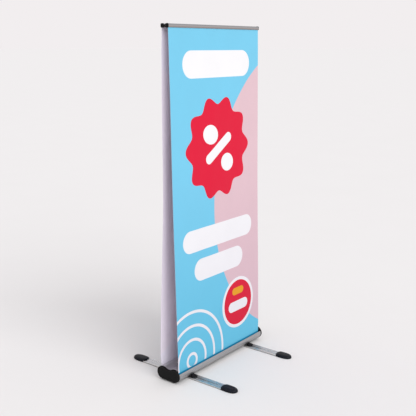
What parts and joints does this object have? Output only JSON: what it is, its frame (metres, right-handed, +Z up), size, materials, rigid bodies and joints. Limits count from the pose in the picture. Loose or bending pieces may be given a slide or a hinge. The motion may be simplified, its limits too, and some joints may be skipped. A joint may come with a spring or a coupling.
{
  "type": "roll-up banner stand",
  "caption": "Double-sided roll-up banner stand: twin-roller floor cassette, two swivelling feet, telescopic mast and two top rails holding a printed graphic on each side.",
  "frame": {"origin": "on the floor under the middle of the stand, at the bottom centre of its overall box", "axes": "+X along the cassette to the right as seen from the front, +Y towards the rear graphic, +Z up"},
  "size_m": [0.888, 0.82, 2.0812],
  "materials": {
    "cassette_aluminium": "satin anodised extrusion",
    "rail_aluminium": "satin anodised extrusion",
    "foot_aluminium": "satin anodised flat bar",
    "tube_aluminium": "drawn tube",
    "cap_plastic": "matt moulded black",
    "moulded_plastic": "satin moulded black",
    "foot_rubber": "satin moulded black",
    "pad_rubber": "matt black",
    "zinc_steel": "zinc plated",
    "black_steel": "black zinc plated",
    "spring_steel": "oiled spring wire",
    "graphic_print": "matt printed banner film, pale blue with pink, white and red shapes"
  },
  "bodies": {
    "cassette": {"cassette_body": "cassette_aluminium", "left_end_cap": "cap_plastic", "right_end_cap": "cap_plastic", "end_cap_screws": "black_steel", "front_spring_shaft": "zinc_steel", "rear_spring_shaft": "zinc_steel", "front_roller_spring": "spring_steel", "rear_roller_spring": "spring_steel", "front_idler_pin": "zinc_steel", "rear_idler_pin": "zinc_steel", "front_graphic": "graphic_print", "rear_graphic": "graphic_print", "mast_socket": "moulded_plastic", "mast_socket_screw": "zinc_steel", "mast_lower_tube": "tube_aluminium", "support_pads": "pad_rubber", "foot_pivot_bolts": "zinc_steel", "foot_pivot_nuts": "zinc_steel", "foot_washers": "moulded_plastic"},
    "front_roller": {"front_roller_tube": "tube_aluminium", "front_spring_plug": "moulded_plastic", "front_idler_plug": "moulded_plastic", "front_wound_graphic": "graphic_print"},
    "rear_roller": {"rear_roller_tube": "tube_aluminium", "rear_spring_plug": "moulded_plastic", "rear_idler_plug": "moulded_plastic", "rear_wound_graphic": "graphic_print"},
    "lower_collar": {"lower_lock_collar": "moulded_plastic"},
    "mast_middle": {"mast_middle_tube": "tube_aluminium", "mast_middle_bush": "moulded_plastic"},
    "upper_collar": {"upper_lock_collar": "moulded_plastic"},
    "mast_upper": {"mast_upper_tube": "tube_aluminium", "mast_upper_bush": "moulded_plastic", "mast_head": "moulded_plastic", "front_top_rail": "rail_aluminium", "rear_top_rail": "rail_aluminium", "front_clamp_strip": "moulded_plastic", "rear_clamp_strip": "moulded_plastic", "front_rail_left_cap": "cap_plastic", "front_rail_right_cap": "cap_plastic", "rear_rail_left_cap": "cap_plastic", "rear_rail_right_cap": "cap_plastic"},
    "left_foot": {"left_foot_bar": "foot_aluminium", "left_foot_front_cap": "foot_rubber", "left_foot_rear_cap": "foot_rubber"},
    "right_foot": {"right_foot_bar": "foot_aluminium", "right_foot_front_cap": "foot_rubber", "right_foot_rear_cap": "foot_rubber"}
  },
  "joints": [
    {"name": "mast_collapse", "type": "slide", "parent": "cassette", "child": "mast_middle", "axis": [0, 0, -1], "range_m": [0, 0.6], "deforming": ["front_graphic", "rear_graphic"]},
    {"name": "mast_upper_collapse", "type": "slide", "parent": "mast_middle", "child": "mast_upper", "axis": [0, 0, -1], "range_m": [0, 0.6]},
    {"name": "front_roller_spin", "type": "hinge", "parent": "cassette", "child": "front_roller", "pos_m": [0, -0.049, 0.046], "axis": [1, 0, 0], "range_deg": [-30, 3750]},
    {"name": "rear_roller_spin", "type": "hinge", "parent": "cassette", "child": "rear_roller", "pos_m": [0, 0.049, 0.046], "axis": [1, 0, 0], "range_deg": [-3750, 30]},
    {"name": "lower_collar_turn", "type": "hinge", "parent": "cassette", "child": "lower_collar", "pos_m": [0, 0, 0.733], "axis": [0, 0, 1], "range_deg": [0, 90]},
    {"name": "upper_collar_turn", "type": "hinge", "parent": "mast_middle", "child": "upper_collar", "pos_m": [0, 0, 1.377], "axis": [0, 0, 1], "range_deg": [0, 90]},
    {"name": "left_foot_swivel", "type": "hinge", "parent": "cassette", "child": "left_foot", "pos_m": [-0.3, 0, 0.005], "axis": [0, 0, 1], "range_deg": [0, 65]},
    {"name": "right_foot_swivel", "type": "hinge", "parent": "cassette", "child": "right_foot", "pos_m": [0.3, 0, 0.005], "axis": [0, 0, 1], "range_deg": [0, 65]}
  ],
  "couplings": [
    {"joint": "mast_upper_collapse", "follows": "mast_collapse", "ratio": 1},
    {"joint": "front_roller_spin", "follows": "mast_collapse", "rad_per_m": 108},
    {"joint": "rear_roller_spin", "follows": "mast_collapse", "rad_per_m": -108}
  ]
}
